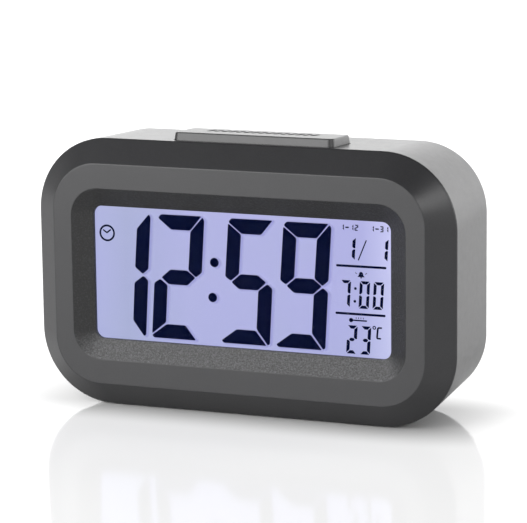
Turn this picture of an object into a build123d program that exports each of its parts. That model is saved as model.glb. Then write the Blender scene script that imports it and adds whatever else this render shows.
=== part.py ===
"""Digital alarm clock: chamfered front bezel, lit display, snooze bar and a battery bay behind.

Frame: X to the right, Y away from the viewer, Z up. The origin lies on the table under the middle
of the casing. Millimetres. "Behind the ring" means measured along Y from the flat front ring.
"""
from build123d import *
from math import atan, cos, pi, radians, sin, tan
import os

os.makedirs("parts", exist_ok=True)

# Casing
width = 135.0
height = 83.0
depth = 43.0
wall = 2.0
front_gap = 0.35          # bottom edge of the bezel above the table
corner_r = 22.9
bezel_depth = 6.6
parting_gap = 0.2         # shadow line between bezel and housing
rear_inset = 1.8          # how far each side leans in by the rear face
rear_corner_r = 21.0
rear_edge_r = 2.0
lip_depth = 2.0
lip_wall = 1.4
lip_clearance = 0.3

# Front ring and the sloping recess round the display
chamfer_side = 7.65
chamfer_top = 7.3
ring_rise = 0.3           # ring's middle above the casing's middle
ring_corner_r = 14.4
ring_side = 5.85
ring_top = 7.6
ring_edge_r = 0.3
recess_corner_r = 8.9
recess_slope = 5.9        # how far the recess wall moves in
window_depth = 3.7
window_corner_r = 2.8
rim = 1.0

# Display stack, from the front
window_overlap = 2.0
window_thickness = 1.3
window_clearance = 0.15
stack_gap = 0.1
polarizer_thickness = 0.2
glass_thickness = 0.7
glass_side = 1.4          # glass beyond the window opening, each side
ledge_height = 2.8        # contact ledge below the rear glass
diffuser_thickness = 0.25
guide_thickness = 3.0
reflector_thickness = 0.25
led_thickness = 1.2
led_board_thickness = 0.8
led_count = 4
zebra_width = 2.0
guide_margin = 0.3        # light guide beyond the window opening, each side
guide_overlap = 1.0       # the same above and below
film_margin = 0.3         # glass beyond the polarizer films
led_length = 3.8
led_height = 1.6
frame_side_wall = 1.35
frame_top_wall = 3.15
frame_bottom_wall = 3.85
frame_divider = 0.8       # wall between light guide and contact strip
frame_bar = 1.5
frame_bar_width = 5.0
frame_bar_x = 30.0
frame_corner_r = 5.0
frame_play = 0.05
ear_inset = 2.35          # ear's screw inside the ring's outer edge
ear_z = 12.0
ear_height = 9.0
ear_margin = 4.5
ear_thickness = 1.8
ear_depth = 8.0           # ear's front face behind the ring
frame_post_r = 2.5

# Boards and screws
board_thickness = 1.6
board_corner_r = 1.0
board_margin = 0.2
board_side_margin = 2.0
fit_gap = 0.05            # between a screw and the hole it cuts its thread in
small_screw_r = 0.95
small_head_r = 1.9
small_head_h = 1.4
small_screw_length = 6.0
screw_slot = 0.35
frame_screw_length = 5.2
housing_screw_r = 1.15
housing_head_r = 2.4
housing_head_h = 1.8
housing_screw_length = 9.0
board_screw_x = 40.0
board_screw_r = 0.75
board_head_r = 1.6
screw_clearance = 0.15    # round a screw in the piece it holds down
screw_tip = 0.5           # hole past the screw's end
boss_inset_x = 13.0       # bosses inside the casing's outline
boss_inset_z = 11.5
boss_r = 3.0
boss_start = 3.5
boss_end = 16.0
well_r = 4.0
well_bore_r = 2.9
well_floor = 2.0

# Snooze bar
snooze_x = 2.2
snooze_front = 9.4
snooze_width = 52.0
snooze_depth = 15.8
snooze_proud = 2.5
snooze_taper = 8.0         # degrees that the bar's sides lean in above the casing
snooze_corner_r = 2.0
snooze_edge_r = 0.5
snooze_wall = 1.5
snooze_clearance = 0.3
snooze_flange = 1.5
snooze_travel = 0.8
snooze_switch_x = 18.0
snooze_board_length = 74.0
snooze_board_depth = 10.0
snooze_post_x = 33.0
snooze_post_r = 2.2
snooze_stem = 1.2         # its posts below the flange
snooze_drop = 0.2         # flange below the casing's top wall
snooze_flange_h = 1.2
snooze_rib_x = 6.0
snooze_rib = 1.0

# Push switches, all of one kind
switch_side = 6.0
switch_body = 3.5
switch_height = 5.0
plunger_r = 1.75
plunger_clearance = 0.12
plunger_length = 3.2
plunger_spare = 0.1       # bore below a pressed plunger

# Rear controls
control_rise = 20.15      # strip's middle above the casing's middle
control_height = 12.0
control_margin = 7.0      # strip beyond the first button and the slider's knob
control_corner_r = 3.0
control_recess = 1.2
button_names = ["mode", "set", "up", "down"]
button_x = -36.0          # first button
button_pitch = 13.5
button_r = 3.4
button_clearance = 0.25
button_sunk = 0.2         # button face below the rear face
button_flange = 1.1
button_rim = 1.2          # flange beyond the button
button_play = 0.1
button_edge_r = 0.4
button_stem = 1.0         # between the flange and the plunger
button_travel = 0.5
button_stem_r = 1.5
slider_x = 21.5
slider_travel = 3.0
slider_length = 6.0
slider_height = 5.0
slider_neck = 3.0
slider_margin = 1.0       # flange beyond the slot's ends
slider_groove = 0.35
slide_body_w = 9.0
slide_body_h = 4.4
slide_body = 3.6
slide_floor = 1.0
lever_side = 1.6
lever_play = 0.2
lever_foot = 1.4          # lever's lower end above the board
lever_grip = 1.5          # lever inside the slider
key_board_height = 15.0
key_post_r = 2.3
key_post_inset = 3.0
key_post_gap = 0.4        # between a post and the flange beside it

# Battery bay
bay_drop = 13.85          # bay's middle below the casing's middle
bay_ledge = 2.0
bay_shell = 2.6
bay_floor = 1.6
bay_corner_r = 1.0
cell_r = 5.25
cell_length = 44.5
cell_nub_r = 1.9
cell_nub = 1.0
cell_edge_r = 0.5
cell_gap = 0.4            # between neighbouring cells
cell_side_gap = 0.35      # between the outer cells and the bay's sides
cell_clearance = 0.2
cover_thickness = 1.8
cover_clearance = 0.3
cover_corner_r = 2.7
cover_edge_r = 0.3
tab_x = 17.0
tab_width = 6.0
tab_reach = 1.4
tab_thickness = 1.2
tab_root = 1.8            # tab above the opening's lower edge
tab_slot = 3.4            # depth of the slot behind the wall
tab_play = 0.2            # between a tab and the wall it hooks behind
hook_play = 0.1
opening_edge_r = 0.5      # rounded outer edge of the opening, on which the cover tilts
grip_count = 3
grip_pitch = 1.6
grip_width = 12.0
grip_drop = 6.5           # middle groove below the opening's top edge
grip_groove = 0.7
latch_width = 9.0
latch_leaf = 0.9
latch_rise = 1.0          # spring leaf above the cover's top edge
latch_reach = 5.5
latch_hook = 1.1
latch_hook_depth = 1.6
latch_root = 1.7          # spring leaf's root below the opening's top edge
latch_play = 0.6
latch_shell = 2.0
contact_thickness = 0.4
contact_side = 8.5
spring_base_r = 3.6
spring_tip_r = 2.4
spring_length = 5.9       # pressed by its cell

# Feet
foot_inset = 30.5         # foot's middle inside the casing's side
foot_width = 12.0
foot_depth = 5.0
foot_corner_r = 1.5
front_foot = 12.5
rear_foot = 35.5
foot_pocket = 0.7
foot_play = 0.1

# Parts soldered to the main board, each placed by X and height from the ring's middle
chip_spot = (-12.0, 4.0)
chip_r = 5.5
chip_height = 1.6
crystal_spot = (-2.0, 8.0)
crystal_r = 1.05
crystal_length = 6.2
crystal_leg = 0.3
crystal_leg_pitch = 1.2
crystal_leg_length = 2.8
capacitor_spots = [(12.0, 14.0), (21.0, 14.0)]
capacitor_r = 2.5
capacitor_height = 7.0
resistor_spot = (-23.2, -9.5)
resistor_columns = 5
resistor_rows = 2
resistor_pitch_x = 3.4
resistor_pitch_z = 3.0
resistor_length = 2.0
resistor_width = 1.2
resistor_height = 0.5
buzzer_inset = 12.0       # buzzer's middle inside the board's right edge
buzzer_drop = 14.0        # and below the ring's middle
buzzer_r = 6.0
buzzer_height = 6.5
buzzer_hole_r = 1.2
sensor_inset = 6.0        # sensor inside the board's left edge
sensor_drop = 20.0
sensor_r = 1.4
sensor_leg = 0.4
sensor_leg_length = 4.0
sensor_leg_pitch = 1.4
vent_count = 5
vent_pitch = 3.2
vent_length = 12.0
vent_width = 1.4
vent_shift = 5.0          # sound slots beside the buzzer's middle

# Wires
wire_r = 0.55
wire_pitch = 1.3
battery_lead_inset = 2.0  # inside the bay's ends
battery_lead_run = 4.5
battery_lead_bend = 9.0
battery_lead_shift = 5.0
battery_lead_rise = 4.0
key_lead_x = -8.0
key_lead_edge = 3.5
key_lead_run = 5.0
key_lead_bend = 10.0
key_lead_drop = 7.0
snooze_lead_x = -24.0
snooze_lead_run = 4.0
snooze_lead_shift = 1.5
snooze_lead_bend = 3.5
snooze_lead_drop = 4.5

# Worked out from the sizes above
mid_z = front_gap + height / 2
ring_z = mid_z + ring_rise
ring_w = width - 2 * chamfer_side
ring_h = height - 2 * chamfer_top
recess_w = ring_w - 2 * ring_side
recess_h = ring_h - 2 * ring_top
window_w = recess_w - 2 * recess_slope
window_h = recess_h - 2 * recess_slope
housing_front = bezel_depth + parting_gap
draft = atan(rear_inset / (depth - housing_front))
rear_wall = depth - wall  # inner face of the rear wall

window_front = window_depth + rim
polarizer_front = window_front + window_thickness + stack_gap
glass_front = polarizer_front + polarizer_thickness
rear_glass_front = glass_front + glass_thickness
rear_polarizer_front = rear_glass_front + glass_thickness
diffuser_front = rear_polarizer_front + polarizer_thickness
guide_front = diffuser_front + diffuser_thickness
reflector_front = guide_front + guide_thickness
bar_front = reflector_front + reflector_thickness
board_front = bar_front + frame_bar
board_rear = board_front + board_thickness
glass_w = window_w + 2 * glass_side
glass_h = window_h + 2 * window_overlap
lens_w = window_w + 2 * window_overlap
lens_h = window_h + 2 * window_overlap
guide_w = window_w + 2 * guide_margin
guide_h = window_h + 2 * guide_overlap
led_x = guide_w / 2 + stack_gap + led_thickness / 2
led_board_x = led_x + (led_thickness + led_board_thickness) / 2
pocket_right = led_board_x + led_board_thickness / 2 + window_clearance
pocket_left = glass_w / 2 + window_clearance
pocket_top = glass_h / 2 + window_clearance
pocket_bottom = glass_h / 2 + ledge_height + window_clearance
frame_front = window_front + window_thickness + frame_play
frame_side_x = pocket_right + frame_side_wall
frame_top = pocket_top + frame_top_wall
frame_bottom = pocket_bottom + frame_bottom_wall
frame_mid = (frame_top - frame_bottom) / 2
frame_h = frame_top + frame_bottom
main_w = 2 * frame_side_x - 2 * board_side_margin
main_h = frame_h - 2 * board_margin
buzzer_spot = (main_w / 2 - buzzer_inset, -buzzer_drop)
sensor_spot = (sensor_inset - main_w / 2, -sensor_drop)
ear_x = ring_w / 2 - ear_inset
boss_x = width / 2 - boss_inset_x
boss_z = height / 2 - boss_inset_z
bay_z = mid_z - bay_drop
control_z = mid_z + control_rise
foot_x = width / 2 - foot_inset

pad_depth = control_recess  # the wall is as thick behind the sunk strip as elsewhere
flange_front = rear_wall - pad_depth - button_play - button_flange
switch_top = flange_front - button_stem
key_board_rear = switch_top - switch_height
control_floor = depth - control_recess
button_xs = {name: button_x + button_pitch * n for n, name in enumerate(button_names)}
slider_mid = slider_x + slider_travel / 2
slot_length = slider_neck + slider_travel + 2 * button_clearance
slider_flange = slot_length + slider_travel + 2 * slider_margin
slider_end = slider_x + slider_travel
control_left = button_x - button_r - control_margin
control_right = slider_end + slider_length / 2 + control_margin
control_width = control_right - control_left
control_x = (control_left + control_right) / 2
key_post_left = button_x - button_r - button_rim - key_post_gap - key_post_r
key_post_right = slider_end + slider_flange / 2 + key_post_gap + key_post_r
key_board_width = key_post_right - key_post_left + 2 * key_post_inset
key_board_x = (key_post_left + key_post_right) / 2
cell_pitch = 2 * cell_r + cell_gap
bay_length = cell_length + spring_length + 2 * contact_thickness
bay_height = 2 * (cell_pitch + cell_r + cell_side_gap)
bay_depth = cover_thickness + 2 * cell_r + 4 * cell_clearance
bay_floor_front = depth - bay_depth
opening_w = bay_length + 2 * bay_ledge
opening_h = bay_height + 2 * bay_ledge
cell_axis = bay_floor_front + cell_clearance + cell_r
cover_front = depth - cover_thickness
opening_low = bay_z - opening_h / 2
opening_top = bay_z + opening_h / 2


def layer(behind, x=0.0, z=0.0):
    """A plane parallel to the front, a distance behind the ring, looking out of the front."""
    return Plane(origin=(x, behind - depth / 2, z), x_dir=(1, 0, 0), z_dir=(0, -1, 0))


def top_at(behind):
    """Height of the casing's top surface at a distance behind the ring."""
    return mid_z + height / 2 - (behind - housing_front) * tan(draft)


def bottom_at(behind):
    """Height of the casing's underside at a distance behind the ring."""
    return mid_z - height / 2 + (behind - housing_front) * tan(draft)


snooze_mid = snooze_front + snooze_depth / 2


def top_layer(above):
    """A plane parallel to the sloping top, a distance above it, under the snooze bar's middle."""
    out = Vector(0, sin(draft), cos(draft))
    seat = Vector(snooze_x, snooze_mid - depth / 2, top_at(snooze_mid))
    return Plane(origin=seat + out * above, x_dir=(1, 0, 0), z_dir=out)


def across_bay(x, z, side):
    """A plane square to the cells on a cell's axis, looking to the right for 1 and left for -1."""
    return Plane(origin=(x, cell_axis - depth / 2, z), x_dir=(0, 1, 0), z_dir=(side, 0, 0))


def save(piece, name):
    """Labels a finished piece and writes it."""
    piece.part.label = name
    export_step(piece.part, f"parts/{name}.step")


# Front bezel: chamfered frame with a funnel down to the display window
lip_w = width - 2 * (wall + lip_clearance)
lip_h = height - 2 * (wall + lip_clearance)
lip_r = corner_r - wall - lip_clearance
corner_bosses = [(x, z) for x in (-boss_x, boss_x) for z in (-boss_z, boss_z)]
frame_posts = [(x, z) for x in (-ear_x, ear_x) for z in (-ear_z, ear_z)]

with BuildPart() as front_bezel:
    with BuildSketch(layer(bezel_depth, z=mid_z)):
        RectangleRounded(width, height, corner_r)
    with BuildSketch(layer(0, z=ring_z)):
        RectangleRounded(ring_w, ring_h, ring_corner_r)
    loft(ruled=True)
    ring_face = front_bezel.faces().sort_by(Axis.Y)[0]
    fillet(ring_face.edges(), ring_edge_r)
    with BuildSketch(layer(bezel_depth, z=mid_z)):
        RectangleRounded(lip_w, lip_h, lip_r)
    extrude(amount=-lip_depth)
    with BuildSketch(layer(bezel_depth, z=mid_z)):
        RectangleRounded(lip_w - 2 * lip_wall, lip_h - 2 * lip_wall, lip_r - lip_wall)
    extrude(amount=-lip_depth, mode=Mode.SUBTRACT)
    with BuildSketch(layer(bezel_depth, z=mid_z)):
        RectangleRounded(lip_w - 2 * lip_wall, lip_h - 2 * lip_wall, lip_r - lip_wall)
    with BuildSketch(layer(wall, z=ring_z)):
        RectangleRounded(ring_w, ring_h, ring_corner_r)
    loft(ruled=True, mode=Mode.SUBTRACT)
    # Funnel and the frame that locates the clear window
    with BuildSketch(layer(wall / 2, z=ring_z)):
        RectangleRounded(recess_w + 2 * wall, recess_h + 2 * wall, recess_corner_r + wall)
    with BuildSketch(layer(window_front, z=ring_z)):
        RectangleRounded(window_w + 4 * wall, window_h + 4 * wall, window_corner_r + 2 * wall)
    loft(ruled=True)
    with BuildSketch(layer(window_front, z=ring_z)):
        RectangleRounded(window_w + 4 * wall, window_h + 4 * wall, window_corner_r + 2 * wall)
        RectangleRounded(lens_w + 2 * window_clearance, lens_h + 2 * window_clearance,
                         window_corner_r + window_overlap, mode=Mode.SUBTRACT)
    extrude(amount=-window_thickness)
    with BuildSketch(layer(0, z=ring_z)):
        RectangleRounded(recess_w, recess_h, recess_corner_r)
    with BuildSketch(layer(window_depth, z=ring_z)):
        RectangleRounded(window_w, window_h, window_corner_r)
    loft(ruled=True, mode=Mode.SUBTRACT)
    with BuildSketch(layer(0, z=ring_z)):
        RectangleRounded(window_w, window_h, window_corner_r)
    extrude(amount=-window_front, mode=Mode.SUBTRACT)
    # Screw bosses
    with BuildSketch(layer(boss_start, z=mid_z)):
        with Locations(*corner_bosses):
            Circle(boss_r)
    extrude(amount=boss_start - boss_end)
    with BuildSketch(layer(wall, z=ring_z)):
        with Locations(*frame_posts):
            Circle(frame_post_r)
    extrude(amount=wall - ear_depth)
    with BuildSketch(layer(boss_end, z=mid_z)):
        with Locations(*corner_bosses):
            Circle(housing_screw_r + fit_gap)
    extrude(amount=housing_screw_length - well_floor + screw_tip, mode=Mode.SUBTRACT)
    with BuildSketch(layer(ear_depth, z=ring_z)):
        with Locations(*frame_posts):
            Circle(small_screw_r + fit_gap)
    extrude(amount=frame_screw_length - ear_thickness + screw_tip, mode=Mode.SUBTRACT)
save(front_bezel, "front_bezel")


# Clear window and the layers of the display behind it
def sheet(name, front, thickness, w, h, r=0.3, drop=0.0):
    """A flat rectangular layer of the display, saved under its name."""
    with BuildPart() as layer_piece:
        with BuildSketch(layer(front, z=ring_z - drop)):
            RectangleRounded(w, h, r)
        extrude(amount=-thickness)
    save(layer_piece, name)


film_w = glass_w - 2 * film_margin
film_h = glass_h - 2 * film_margin
sheet("display_window", window_front, window_thickness, lens_w, lens_h, window_corner_r + window_overlap)
sheet("lcd_front_polarizer", polarizer_front, polarizer_thickness, film_w, film_h)
sheet("lcd_front_glass", glass_front, glass_thickness, glass_w, glass_h + ledge_height, drop=ledge_height / 2)
sheet("lcd_rear_glass", rear_glass_front, glass_thickness, glass_w, glass_h)
sheet("lcd_rear_polarizer", rear_polarizer_front, polarizer_thickness, film_w, film_h)
sheet("diffuser_sheet", diffuser_front, diffuser_thickness, guide_w, guide_h)
sheet("light_guide", guide_front, guide_thickness, guide_w, guide_h)
sheet("reflector_sheet", reflector_front, reflector_thickness, guide_w, guide_h)

led_pitch = window_h / led_count

with BuildPart() as backlight_leds:
    with BuildSketch(layer(guide_front + (guide_thickness - led_height) / 2, x=led_x, z=ring_z)):
        with GridLocations(1, led_pitch, 1, led_count):
            Rectangle(led_thickness, led_length)
    extrude(amount=-led_height)
save(backlight_leds, "backlight_leds")

with BuildPart() as backlight_board:
    board_span = board_front - rear_polarizer_front - 2 * stack_gap
    with Locations((led_board_x, board_front - board_span / 2 - depth / 2, ring_z)):
        Box(led_board_thickness, board_span, window_h)
save(backlight_board, "backlight_board")

# Frame that holds the display stack to the bezel
board_screw_spots = [(x, z) for x in (-board_screw_x, board_screw_x)
                     for z in ((pocket_top + frame_top) / 2, -(pocket_bottom + frame_bottom) / 2)]
ear_inner = frame_side_x - 1.0
ear_outer = ear_x + ear_margin
divider_z = guide_h / 2 + stack_gap + frame_divider / 2

with BuildPart() as lcd_frame:
    with BuildSketch(layer(frame_front, z=ring_z)):
        with Locations((0, frame_mid)):
            RectangleRounded(2 * frame_side_x, frame_h, frame_corner_r)
    extrude(amount=frame_front - board_front)
    with BuildSketch(layer(frame_front, z=ring_z)):
        with Locations((0, (pocket_top - pocket_bottom) / 2)):
            Rectangle(2 * pocket_left, pocket_top + pocket_bottom)
    extrude(amount=frame_front - board_front, mode=Mode.SUBTRACT)
    with BuildSketch(layer(rear_polarizer_front, z=ring_z)):
        with Locations(((pocket_right - pocket_left) / 2, 0)):
            Rectangle(pocket_left + pocket_right, 2 * pocket_top - 2 * film_margin)
    extrude(amount=rear_polarizer_front - board_front, mode=Mode.SUBTRACT)
    # Wall between the light guide and the contact strip, and bars behind the reflector
    with BuildSketch(layer(rear_polarizer_front + polarizer_thickness, z=ring_z)):
        with Locations((0, -divider_z)):
            Rectangle(2 * pocket_left, frame_divider)
    extrude(amount=rear_polarizer_front + polarizer_thickness - board_front)
    with BuildSketch(layer(bar_front, z=ring_z)):
        with Locations((-frame_bar_x, 0), (0, 0), (frame_bar_x, 0)):
            Rectangle(frame_bar_width, 2 * pocket_top)
    extrude(amount=-frame_bar)
    with BuildSketch(layer(ear_depth, z=ring_z)):
        with GridLocations(ear_inner + ear_outer, 2 * ear_z, 2, 2):
            Rectangle(ear_outer - ear_inner, ear_height)
    extrude(amount=-ear_thickness)
    with BuildSketch(layer(ear_depth, z=ring_z)):
        with Locations(*frame_posts):
            Circle(small_screw_r + screw_clearance)
    extrude(amount=-ear_thickness, mode=Mode.SUBTRACT)
    with BuildSketch(layer(board_front, z=ring_z)):
        with Locations(*board_screw_spots):
            Circle(board_screw_r + fit_gap)
    extrude(amount=small_screw_length - board_thickness + screw_tip, mode=Mode.SUBTRACT)
save(lcd_frame, "lcd_frame")

with BuildPart() as zebra_strip:
    with BuildSketch(layer(rear_glass_front, z=ring_z - glass_h / 2 - ledge_height / 2)):
        Rectangle(guide_w, zebra_width)
    extrude(amount=rear_glass_front - board_front)
save(zebra_strip, "zebra_strip")

# Main board and what is soldered to it
with BuildPart() as main_board:
    with BuildSketch(layer(board_front, z=ring_z)):
        with Locations((0, frame_mid)):
            RectangleRounded(main_w, main_h, frame_corner_r - 1)
        with Locations(*board_screw_spots):
            Circle(board_screw_r + screw_clearance, mode=Mode.SUBTRACT)
    extrude(amount=-board_thickness)
save(main_board, "main_board")


def screws(name, plane, spots, shank_r, head_r, head_h, length):
    """Pan-head screws with a cross slot; their heads rise along the plane's normal."""
    cross = head_r * 1.2
    with BuildPart() as group:
        with BuildSketch(plane):
            with Locations(*spots):
                Circle(head_r)
        extrude(amount=head_h)
        crowns = group.edges().filter_by(GeomType.CIRCLE).group_by(Axis(plane.origin, plane.z_dir))[-1]
        fillet(crowns, head_h * 0.35)
        with BuildSketch(plane):
            with Locations(*spots):
                Circle(shank_r)
        extrude(amount=-length)
        with BuildSketch(plane.offset(head_h)):
            with Locations(*spots):
                Rectangle(cross, screw_slot)
                Rectangle(screw_slot, cross)
        extrude(amount=-head_h / 2, mode=Mode.SUBTRACT)
    save(group, name)


def rearward(behind, x=0.0, z=0.0):
    """A plane at a distance behind the ring that looks out of the back, with X to the left."""
    return Plane(origin=(x, behind - depth / 2, z), x_dir=(-1, 0, 0), z_dir=(0, 1, 0))


def mirrored(spots):
    """Spots given from the front, for a plane that looks out of the back."""
    return [(-x, z) for x, z in spots]


screws("main_board_screws", rearward(board_rear, z=ring_z), mirrored(board_screw_spots), board_screw_r,
       board_head_r, small_head_h, small_screw_length)
screws("lcd_frame_screws", rearward(ear_depth + ear_thickness, z=ring_z), mirrored(frame_posts),
       small_screw_r, small_head_r, small_head_h, frame_screw_length)


def on_board(spot, above=0.0):
    """A plane on the main board's rear face at a spot given by X and height from the ring's middle."""
    return rearward(board_rear + above, x=spot[0], z=ring_z + spot[1])


with BuildPart() as driver_chip:
    with BuildSketch(on_board(chip_spot)):
        Circle(chip_r)
    extrude(amount=chip_height)
    fillet(driver_chip.edges().filter_by(GeomType.CIRCLE).sort_by(Axis.Y)[-1], chip_height * 0.8)
save(driver_chip, "driver_chip")

with BuildPart() as quartz_crystal:
    can_end = on_board(crystal_spot, crystal_r)
    with BuildSketch(Plane(origin=can_end.origin, x_dir=(0, 1, 0), z_dir=(1, 0, 0))):
        Circle(crystal_r)
    extrude(amount=crystal_length)
    fillet(quartz_crystal.edges().sort_by(Axis.X)[-1], crystal_r * 0.4)
    with BuildSketch(on_board(crystal_spot)):
        with Locations((crystal_leg_length / 2, 0)):
            with GridLocations(1, crystal_leg_pitch, 1, 2):
                Rectangle(crystal_leg_length, crystal_leg)
    extrude(amount=crystal_leg)
    with BuildSketch(on_board(crystal_spot)):
        with GridLocations(1, crystal_leg_pitch, 1, 2):
            Rectangle(crystal_leg, crystal_leg)
    extrude(amount=crystal_r)
save(quartz_crystal, "quartz_crystal")

with BuildPart() as capacitors:
    with BuildSketch(on_board((0, 0))):
        with Locations(*mirrored(capacitor_spots)):
            Circle(capacitor_r)
    extrude(amount=capacitor_height)
    fillet(capacitors.edges().filter_by(GeomType.CIRCLE).group_by(Axis.Y)[-1], capacitor_r * 0.16)
save(capacitors, "capacitors")

with BuildPart() as chip_resistors:
    with BuildSketch(on_board(resistor_spot)):
        with GridLocations(resistor_pitch_x, resistor_pitch_z, resistor_columns, resistor_rows):
            Rectangle(resistor_length, resistor_width)
    extrude(amount=resistor_height)
save(chip_resistors, "chip_resistors")

with BuildPart() as buzzer:
    with BuildSketch(on_board(buzzer_spot)):
        Circle(buzzer_r)
    extrude(amount=buzzer_height)
    fillet(buzzer.edges().filter_by(GeomType.CIRCLE).sort_by(Axis.Y)[-1], buzzer_r * 0.1)
    with BuildSketch(on_board(buzzer_spot, buzzer_height / 2)):
        Circle(buzzer_hole_r)
    extrude(amount=buzzer_height, mode=Mode.SUBTRACT)
save(buzzer, "buzzer")

with BuildPart() as temperature_sensor:
    with Locations(on_board(sensor_spot, sensor_leg_length).origin):
        Sphere(sensor_r)
    with BuildSketch(on_board(sensor_spot)):
        with GridLocations(sensor_leg_pitch, 1, 2, 1):
            Rectangle(sensor_leg, sensor_leg)
    extrude(amount=sensor_leg_length)
save(temperature_sensor, "temperature_sensor")

# Rear housing: the deep shell with the bay, the control strip, the wells and the snooze opening
snooze_flange_top = -wall - snooze_drop
snooze_flange_bottom = snooze_flange_top - snooze_flange_h
snooze_switch_top = snooze_flange_bottom - snooze_stem
snooze_board_top = snooze_switch_top - switch_height
snooze_posts = [(-snooze_post_x, 0), (snooze_post_x, 0)]
key_corners = [(x, z) for x in (-key_board_width / 2 + key_post_inset, key_board_width / 2 - key_post_inset)
               for z in (-key_board_height / 2 + key_post_inset, key_board_height / 2 - key_post_inset)]
slot_w = tab_width + 2 * cover_clearance
latch_well_w = latch_width + 2 * latch_play
latch_well_low = opening_top - latch_root - latch_leaf / 2 - hook_play
latch_well_top = opening_top + latch_rise + latch_leaf + latch_play
latch_well_depth = cover_thickness + latch_reach + latch_play
foot_top = {front_foot: bottom_at(front_foot) + foot_pocket, rear_foot: bottom_at(rear_foot) + foot_pocket}

with BuildPart() as rear_housing:
    with BuildSketch(layer(housing_front, z=mid_z)):
        RectangleRounded(width, height, corner_r)
    with BuildSketch(layer(depth, z=mid_z)):
        RectangleRounded(width - 2 * rear_inset, height - 2 * rear_inset, rear_corner_r)
    loft(ruled=True)
    fillet(rear_housing.faces().sort_by(Axis.Y)[-1].edges(), rear_edge_r)
    with BuildSketch(layer(housing_front, z=mid_z)):
        RectangleRounded(width - 2 * wall, height - 2 * wall, corner_r - wall)
    with BuildSketch(layer(rear_wall, z=mid_z)):
        RectangleRounded(width - 2 * (rear_inset + wall), height - 2 * (rear_inset + wall),
                         rear_corner_r - wall)
    loft(ruled=True, mode=Mode.SUBTRACT)
    # Screw wells
    with BuildSketch(layer(boss_end, z=mid_z)):
        with Locations(*corner_bosses):
            Circle(well_r)
    extrude(amount=boss_end - rear_wall - wall / 2)
    with BuildSketch(layer(boss_end + well_floor, z=mid_z)):
        with Locations(*corner_bosses):
            Circle(well_bore_r)
    extrude(amount=boss_end + well_floor - depth, mode=Mode.SUBTRACT)
    with BuildSketch(layer(boss_end, z=mid_z)):
        with Locations(*corner_bosses):
            Circle(housing_screw_r + screw_clearance)
    extrude(amount=-well_floor, mode=Mode.SUBTRACT)
    # Battery bay
    with BuildSketch(layer(bay_floor_front - bay_floor, z=bay_z)):
        RectangleRounded(opening_w + 2 * bay_shell, opening_h + 2 * bay_shell, 2.0)
    extrude(amount=bay_floor_front - bay_floor - rear_wall)
    latch_block = latch_well_top + latch_hook + latch_shell - opening_top
    with BuildSketch(layer(depth - latch_well_depth - latch_shell, z=opening_top + latch_block / 2)):
        Rectangle(latch_well_w + 2 * latch_shell, latch_block)
    extrude(amount=-(latch_well_depth + latch_shell - wall))
    with BuildSketch(layer(cover_front, z=bay_z)):
        RectangleRounded(opening_w, opening_h, cover_corner_r + cover_clearance)
    extrude(amount=-cover_thickness, mode=Mode.SUBTRACT)
    opening_outline = rear_housing.faces().sort_by(Axis.Y)[-1].inner_wires().sort_by(SortBy.LENGTH)[-1]
    fillet(opening_outline.edges(), opening_edge_r)
    with BuildSketch(layer(bay_floor_front, z=bay_z)):
        RectangleRounded(bay_length, bay_height, bay_corner_r)
    extrude(amount=-bay_depth, mode=Mode.SUBTRACT)
    # Slots for the cover's tabs, and the well for its latch
    with BuildSketch(layer(rear_wall - tab_slot, z=opening_low)):
        with Locations((-tab_x, 0), (tab_x, 0)):
            Rectangle(slot_w, 2 * (tab_reach + cover_clearance))
    extrude(amount=-tab_slot, mode=Mode.SUBTRACT)
    with BuildSketch(layer(rear_wall - tab_slot, z=opening_low + bay_ledge / 2)):
        with Locations((-tab_x, 0), (tab_x, 0)):
            Rectangle(slot_w, bay_ledge)
    extrude(amount=rear_wall - tab_slot - depth, mode=Mode.SUBTRACT)
    with BuildSketch(layer(depth - latch_well_depth, z=(latch_well_low + latch_well_top) / 2)):
        Rectangle(latch_well_w, latch_well_top - latch_well_low)
    extrude(amount=-latch_well_depth, mode=Mode.SUBTRACT)
    with BuildSketch(layer(rear_wall - latch_hook_depth - 1.0, z=latch_well_top)):
        Rectangle(latch_well_w, 2 * latch_hook)
    extrude(amount=-(latch_hook_depth + 1.0), mode=Mode.SUBTRACT)
    # Control strip: sunk outside, thickened inside, with posts for the key board
    with BuildSketch(layer(rear_wall - pad_depth, x=control_x, z=control_z)):
        RectangleRounded(control_width + 2 * wall, control_height + 2 * wall, control_corner_r)
    extrude(amount=-pad_depth)
    with BuildSketch(layer(key_board_rear, x=key_board_x, z=control_z)):
        with Locations(*key_corners):
            Circle(key_post_r)
    extrude(amount=key_board_rear - rear_wall)
    with BuildSketch(layer(control_floor, x=control_x, z=control_z)):
        RectangleRounded(control_width, control_height, control_corner_r)
    extrude(amount=-control_recess, mode=Mode.SUBTRACT)
    with BuildSketch(layer(rear_wall - pad_depth, z=control_z)):
        for x in button_xs.values():
            with Locations((x, 0)):
                Circle(button_r + button_clearance)
        with Locations((slider_mid, 0)):
            Rectangle(slot_length, slider_neck + 2 * button_clearance)
    extrude(amount=-(wall + pad_depth), mode=Mode.SUBTRACT)
    with BuildSketch(layer(key_board_rear, x=key_board_x, z=control_z)):
        with Locations(*key_corners):
            Circle(small_screw_r + fit_gap)
    extrude(amount=-(small_screw_length - board_thickness + screw_tip), mode=Mode.SUBTRACT)
    # Sound slots behind the buzzer
    with BuildSketch(layer(rear_wall, x=buzzer_spot[0] + vent_shift, z=ring_z + buzzer_spot[1])):
        with GridLocations(vent_pitch, 1, vent_count, 1):
            SlotOverall(vent_length, vent_width, rotation=90)
    extrude(amount=-wall, mode=Mode.SUBTRACT)
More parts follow.
